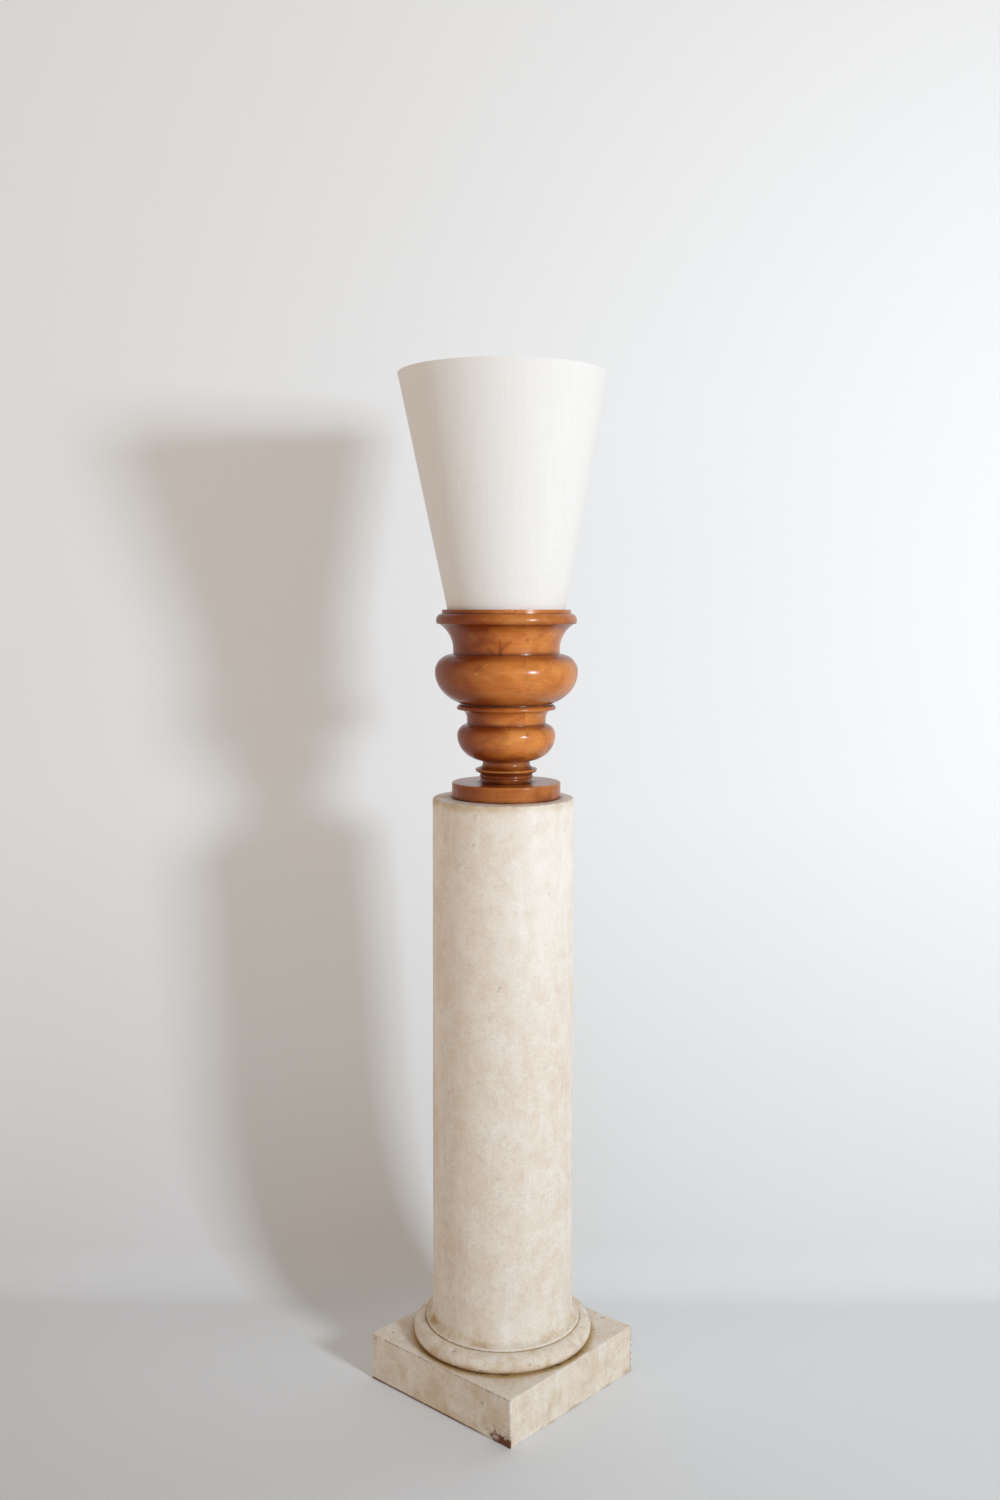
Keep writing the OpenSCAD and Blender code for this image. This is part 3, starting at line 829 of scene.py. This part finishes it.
def makeVase(material):
    low, high = (np.array(v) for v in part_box("vase"))
    foot = vaseFoot()
    tall, widest = (high[2] - low[2]) / mm, (high[0] - low[0]) / 2 / mm
    outline, facing = worked(vaseOutline(tall, widest), 0.9, 3.6, 12)
    mouth = np.argmax(outline[:, 1])

    def place(angle, height):
        # A point on the outside, from its bearing and its height above the column.
        radius = np.interp(height, outline[:mouth, 1], outline[:mouth, 0])
        return foot + atBearing(angle, radius, height) * mm

    def spot(points, angle, height, width):
        # 1 at a place on the outside, and less away from it.
        return hump(distance(points, place(angle, height)), width)

    def stroke(points, start, end, width):
        # 1 on the straight line between two places on the outside, and less away from it.
        first, way = place(*start), place(*end) - place(*start)
        share = np.clip((points - first) @ way / (way @ way), 0, 1)
        return hump(distance(points, first + share[..., None] * way), width)

    def dent(points):
        nicks = 1.6 * spot(points, 6, tall - 1, 2.2) + 0.9 * spot(points, -37, 5, 3)
        uneven = (0.05 + 0.05 * clouds(points, 26, 14)) * (points[..., 2] > foot[2] + 0.2 * mm)
        return nicks + 0.8 * spot(points, -2, 1, 3) + uneven

    grid = turned(outline, facing, vase["around"], foot, dent, vase["gather"])
    z = vaseLevels()
    height, span, angle = lie(grid, foot)
    inside = np.zeros(grid.shape[:2])
    inside[mouth + 2 :] = 1

    # Old polish and dirt, with painted shade, darken the hollow corners between the mouldings, and a painted
    # shadow
    # lies round the foot: each corner is listed with how far above its level it lies, how far it spreads, how
    # thick it is and how far out it ends.
    ringRadius = vase["cupRadius"] - vase["cupNeckIn"] + vase["ringOut"]
    corners = [
        ("bowl", -1.2, 2.6, 1.0, ringRadius - 3.2),
        ("disc", 0, 8, 0.3, 60),
        ("disc", 3, 5, 0.3, 60),
        ("bead", vase["beadHigh"] + 1, 1.4, 0.7, 50),
        ("stemFoot", 5, 3, 0.35, math.inf),
        ("cupFoot", 1, 3.5, 0.45, 60),
        ("cupNeck", 0.5, 1.8, 0.5, math.inf),
        ("bowlNeck", 0.5, 2.0, 0.6, 99),
        ("rim", -1, 2.5, 0.3, 119),
        ("band", 0, 1.3, 0.35, math.inf),
    ]
    grimeAndShade = 0.5 * hump(height - z["disc"], 2.4) * hump(span - 52, 5) + 0.95 * hump(height, 2.8)
    for name, shift, width, thick, within in corners:
        grimeAndShade += thick * hump(height - z[name] - shift, width) * (span < within)
    joint = (grid - foot) @ toRight / mm - woodLook["joint"]
    onBowl = (angle > 0) * (angle < 90) * (height > z["bowl"]) * (height < z["bowlWide"])
    grimeAndShade += 0.08 * hump(joint, 0.9) * onBowl
    grimeAndShade = grimeAndShade * (0.75 + 0.35 * clouds(grid, 22, 24)) * (1 - inside)
    for angleAt, heightAt, width in ((21.6, 282.6, 1.7), (3.5, 127.5, 1.2), (25, 117, 1.5), (-10.5, 12, 1.6)):
        grimeAndShade += spot(grid, angleAt, heightAt, width)

    # A dark fork in the grain on the upper neck: where each branch starts and ends, its width and strength.
    branches = [
        ((-6.7, 282), (-6.3, 266), 1.5, 1),
        ((-6.4, 268), (-6.3, 258), 2.6, 1),
        ((-4.5, 267), (3.7, 280), 2, 0.7),
        ((-18.9, 267), (-14.3, 259), 2.4, 0.8),
    ]
    fork = 0.3 * spot(grid, -5, 268, 14)
    for start, end, width, strength in branches:
        fork += strength * stroke(grid, start, end, width)
    darkFigureAndShade = np.clip(0.5 * fork, 0, 0.6) * (span < 112)

    # The disc takes more stain. Painted shade darkens the left side, away from the lamp, most at 75 degrees
    # left and at the back and not at all on the front right; and also the inside of the well, the waist under
    # the collar, the hollows, both sides and the band under the lampshade.
    paintedSideShade = np.cos(np.radians(angle + 75)) ** 2 * ramp(span, 38, 60)
    paintedSideShade = paintedSideShade * (0.4 + 0.6 * (height > z["disc"] + 0.5))
    paintedSideShade = paintedSideShade * (1 - ramp(angle, -15, 12) * (1 - ramp(angle, 75, 110)))
    darkFigureAndShade += 0.3 * ramp(clouds(grid * [1, 1, 1.6], 46, 34), 0.05, 0.5) + 0.35 * inside + 0.85 * paintedSideShade
    darkFigureAndShade += 0.38 * (height < z["disc"] + 0.5)
    darkFigureAndShade += 0.6 * hump(height - z["collarFoot"] + 8, 15) * (height > z["disc"])
    paintedShade = 0.16 * hump(angle + 38, 26) + 0.26 * hump(angle - 72, 24)
    paintedShade += 0.18 * ramp(height, z["rim"] - 6, z["rim"])
    hollows = {"bowlNeck": (-3, 8), "cupNeck": (-2, 6), "bowl": (4, 17), "cupFoot": (1, 16), "rim": (-4, 8)}
    for name, (shift, width) in hollows.items():
        paintedShade += 0.52 * hump(height - z[name] - shift, width)
    darkFigureAndShade += paintedShade * (1 - inside)

    # A pale scratch on the bowl; a painted highlight with rubbed wear along the disc's top edge; and the
    # rim's and the collar's edges rubbed bare.
    pale = 0.55 * stroke(grid, (-24.4, 224), (-16, 241), 1.3)
    pale += 0.25 * hump(height - z["disc"] + 1, 1.4) * hump(span - vase["discRadius"] + 1, 2.2)
    pale += 0.3 * hump(height - tall, 1.3) * (span > 112)
    pale += 0.45 * hump(height - z["collarFoot"] - 2.5, 1.4) * (span > 53)
    ageAndLight = (np.clip(grimeAndShade, 0, 0.95), np.clip(darkFigureAndShade, 0, 0.9), pale)
    piece = surfacePiece("turnedVase", grid, ageAndLight, sharp=60)
    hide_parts("vase")
    return finish(piece, material)


# ---- the shade

shade = {
    "wall": 2.0,  # mm, cloth and liner together
    "cloth": 0.7,  # mm
    "clear": 1.0,  # mm, between the shade's foot and the band round the seat
    "flare": 0.1916,  # mm wider for each mm up
    "tapeProud": 0.25,  # mm, how far the folded tape stands proud of the cloth
    "foldProud": 0.6,  # mm, the same at the fold over the wire
    "hemHigh": 9.0,
    "tuck": 0.4,  # mm, how far the cloth and the liner stop short inside the hems
    "around": 300,
    "rows": 90,
}


def coneShape():
    # The shade's foot and top ring: each a middle and a radius. The top ring has settled a little to one
    # side.
    low, high = (np.array(v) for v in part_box("shade"))
    top = np.array([(low[0] + high[0]) / 2, (low[1] + high[1]) / 2, high[2]])
    topRadius = (high[0] - low[0]) / 2
    foot = vaseFoot() * [1, 1, 0] + [0, 0, low[2]]
    footRadius = (vase["seatRadius"] - shade["clear"]) * mm - vase["seatDeep"] * mm * shade["flare"]
    return foot, footRadius, top, topRadius


def coneSlant():
    # The cone's slant length, and how much its radius grows along it.
    foot, footRadius, top, topRadius = coneShape()
    slant = math.hypot(top[2] - foot[2], topRadius - footRadius)
    return slant, (topRadius - footRadius) / slant


def onCone(up, out):
    # Points on the cone: the middle and the radius both change evenly from foot to top, and out moves them
    # off its outer face. Both up, from 0 to 1, and out, in metres, are lists of one value for each row.
    foot, footRadius, top, topRadius = coneShape()
    seam = sightTurn + math.radians(90)
    angle = seam + np.arange(shade["around"]) * 2 * math.pi / shade["around"]
    ring = np.stack([np.cos(angle), np.sin(angle), np.zeros(len(angle))], 1)
    up = np.asarray(up)[:, None, None]
    radius = footRadius + (topRadius - footRadius) * up + np.asarray(out)[:, None, None]
    return foot + (top - foot) * up + radius * ring


def flatCut(up):
    # The flat pattern of the cone, a sector of a ring: p = R (sin b, cos b), where R is the slant distance
    # from the cone's tip and b the angle round it, shrunk by the cone's own slope.
    _, footRadius, _, topRadius = coneShape()
    slope = coneSlant()[1]
    turn = (np.arange(shade["around"] + 1) / shade["around"] - 0.5) * 2 * math.pi * slope
    reach = (footRadius + (topRadius - footRadius) * np.asarray(up)) / slope
    return np.stack([reach[:, None] * np.sin(turn), reach[:, None] * np.cos(turn)], -1)


def closedWall(name, up, outer, inner):
    # A wall whose cross-section is a loop, carried round the cone. Rows of the grid run round that loop.
    rows = np.concatenate([up, up[::-1]])
    grid = onCone(rows, np.concatenate([outer, inner[::-1]]))
    count, columns = grid.shape[:2]
    here = np.arange(columns)
    beside = (here + 1) % columns
    low = np.arange(count)[:, None] * columns
    above = (np.arange(count)[:, None] + 1) % count * columns
    quads = np.stack([low + here, low + beside, above + beside, above + here], -1).reshape(-1, 4)
    piece = newPiece(name, grid.reshape(-1, 3), quads.tolist())
    cut = flatCut(rows)
    after = np.roll(cut, -1, 0)
    corners = np.stack([cut[:, :-1], cut[:, 1:], after[:, 1:], after[:, :-1]], 2).reshape(-1, 2)
    piece.data.uv_layers.new(name="cloth").data.foreach_set("uv", corners.ravel())
    piece.data.set_sharp_from_angle(angle=math.radians(50))
    return piece


def makeShade(linen, liner):
    slant, slope = coneSlant()
    tucked = shade["tuck"] * mm / slant
    up = np.linspace(tucked, 1 - tucked, shade["rows"])
    cloth, wall = shade["cloth"] * mm, shade["wall"] * mm
    skin = closedWall("linenCover", up, np.zeros(len(up)), np.full(len(up), -cloth))
    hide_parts("shade")
    finish(skin, linen)
    inside = closedWall("shadeLiner", up, np.full(len(up), -cloth - 0.05 * mm), np.full(len(up), -wall))
    finish(inside, liner)

    # A strip of the same cloth is folded over each wire ring, and thins to nothing at its far edge.
    share = shade["hemHigh"] * mm / slant
    for name, start, end, fold in (("topHem", 1 - share, 1, 1), ("footHem", 0, share, 0)):
        rows = np.linspace(start, end, 9)
        t = np.abs(rows - fold) / share
        swell = (shade["foldProud"] - shade["tapeProud"]) * np.sqrt(np.clip(1 - t, 0, 1))
        proud = (shade["tapeProud"] + swell) * mm
        proud[np.argmax(t)] = 0.02 * mm
        hem = closedWall(name, rows, proud, np.full(len(rows), -wall) - proud)
        finish(hem, linen)


# ---- camera, lights and backdrop

studio = {
    "eyeHigh": 1.4249,  # m
    "eyeBack": 2.5577,
    "lens": 34.43,
    "lookDown": 5.614,  # degrees
    "lookLeft": 0.132,
    "lean": 0.063,
    "keyPlace": (2.29, -2.54, 1.86),  # m, right of the lamp, beyond it and up
    "keySize": 0.54,
    "keyColour": (0.79, 0.90, 1.0),
    "keyAim": 1.2,  # m up the lamp
    "keyPower": 74.0,
    "wallsLeft": (0.76, 0.645, 0.555, 1),
    "wallsRight": (0.68, 0.61, 0.55, 1),
    "ceiling": (0.18, 0.155, 0.135, 1),
    "roomSeen": (0.78, 0.78, 0.78, 1),  # the room where the camera sees past the backdrop
    "curveStart": 0.264,  # m behind the column, where the backdrop leaves the floor
    "curveDeep": 0.23,
    "curveHigh": 0.5,
    "wallLean": 0.1,  # how far the rest leans back for each metre up
    "wallHigh": 6.0,
    "paper": "#f7fafc",
    # the floor's greyer paper is painted shade
    "paperFloorShade": "#eaebec",
    "paperWide": 1.36,  # m, half of a full roll
}


def placeCamera():
    camera = bpy.data.objects.new("camera", bpy.data.cameras.new("camera"))
    bpy.context.scene.collection.objects.link(camera)
    camera.data.sensor_width = 36
    camera.data.lens = studio["lens"]
    camera.location = -toBack * studio["eyeBack"] + toSky * studio["eyeHigh"]
    turn = Matrix.Rotation(sightTurn + math.radians(studio["lookLeft"]), 4, "Z")
    tilt = Matrix.Rotation(math.radians(90 - studio["lookDown"]), 4, "X")
    lean = Matrix.Rotation(math.radians(studio["lean"]), 4, "Z")
    camera.rotation_euler = (turn @ tilt @ lean).to_euler()
    bpy.context.scene.camera = camera


def along(tree, place, way):
    # How far a place lies along a direction.
    links = {0: place, 1: tuple(way)}
    return addNode(tree, "ShaderNodeVectorMath", links, operation="DOT_PRODUCT")["Value"]


def placeLights():
    lamp = bpy.data.lights.new("softbox", "AREA")
    lamp.shape = "SQUARE"
    lamp.size = studio["keySize"]
    lamp.energy = studio["keyPower"]
    lamp.color = studio["keyColour"]
    holder = bpy.data.objects.new("softbox", lamp)
    bpy.context.scene.collection.objects.link(holder)
    spot = Vector(at(*studio["keyPlace"]))
    holder.location = spot
    holder.rotation_euler = (spot - Vector((0, 0, studio["keyAim"]))).to_track_quat("Z", "Y").to_euler()

    # The room: pale walls all round, a little warmer at the left, under a dark ceiling.
    world = bpy.data.worlds.new("room")
    world.use_nodes = True
    bpy.context.scene.world = world
    tree = world.node_tree
    tree.nodes.clear()
    way = addNode(tree, "ShaderNodeTexCoord")["Generated"]
    share = ranged(tree, along(tree, way, toRight), (-0.9, 0.7))
    walls = blended(tree, share, studio["wallsLeft"], studio["wallsRight"])
    overhead = ranged(tree, along(tree, way, toSky), (0.3, 0.75))
    walls = blended(tree, overhead, walls, studio["ceiling"])
    seen = addNode(tree, "ShaderNodeLightPath")["Is Camera Ray"]
    light = blended(tree, seen, walls, studio["roomSeen"])
    background = addNode(tree, "ShaderNodeBackground", {"Color": light, "Strength": 1.0})[0]
    addNode(tree, "ShaderNodeOutputWorld", {"Surface": background})


def makeBackdrop():
    # A roll of paper: level on the floor, a quarter of an ellipse, and a tall stretch that leans back a
    # little. It shows one face only, so that the lamp can be looked at from behind.
    start, deep, high = studio["curveStart"], studio["curveDeep"], studio["curveHigh"]
    t = np.linspace(0, math.pi / 2, 40)
    curve = np.stack([start + deep * np.sin(t), high - high * np.cos(t)], 1)
    rise = studio["wallHigh"] - high
    head = curve[-1] + [studio["wallLean"] * rise, rise]
    profile = np.concatenate([[[-6, 0], [-0.6, 0], [0, 0]], curve, [head]])
    ends = np.array([-studio["paperWide"], studio["paperWide"]])
    grid = at(ends[None, :, None], profile[:, None, :1], profile[:, None, 1:])
    low = np.arange(len(profile) - 1)[:, None] * 2
    quads = np.concatenate([low, low + 1, low + 3, low + 2], 1)
    paper = newPiece("paperRoll", grid.reshape(-1, 3), quads.tolist())

    # Painted light and shade on the paper: it is whiter up the wall and in a band where the floor meets the
    # curve, and greyer on the floor in front.
    material, tree = freshMaterial("backdropPaper")
    place = addNode(tree, "ShaderNodeTexCoord")["Object"]
    height = addNode(tree, "ShaderNodeSeparateXYZ", {0: place})["Z"]
    far = ranged(tree, along(tree, place, toBack), (-0.5, 0.12), kind="SMOOTHSTEP")
    low = ranged(tree, height, (0, 0.1), (0.5, 0), "SMOOTHSTEP")
    paintedLift = sums(tree, "MAXIMUM", ranged(tree, height, (0, 1)), sums(tree, "MULTIPLY", far, low))
    tint = blended(tree, paintedLift, colour(studio["paperFloorShade"]), colour(studio["paper"]))
    body = addNode(tree, "ShaderNodeBsdfDiffuse", {"Color": tint})[0]
    clear = addNode(tree, "ShaderNodeBsdfTransparent")[0]
    behind = addNode(tree, "ShaderNodeNewGeometry")["Backfacing"]
    mixed = addNode(tree, "ShaderNodeMixShader", {0: behind, 1: body, 2: clear})[0]
    addNode(tree, "ShaderNodeOutputMaterial", {"Surface": mixed})
    paper.data.materials.append(material)


placeCamera()
placeLights()
makeBackdrop()
print("camera, lights and backdrop placed")
plaster = agedPlaster()
makePlinth(plaster)
makeTorus(plaster)
makeShaft(plaster)
print("column made")
makeVase(polishedFruitwood())
print("vase made")
makeShade(slubbyLinen(), paperLiner())
print("shade made")
bpy.context.scene.view_settings.view_transform = "Standard"
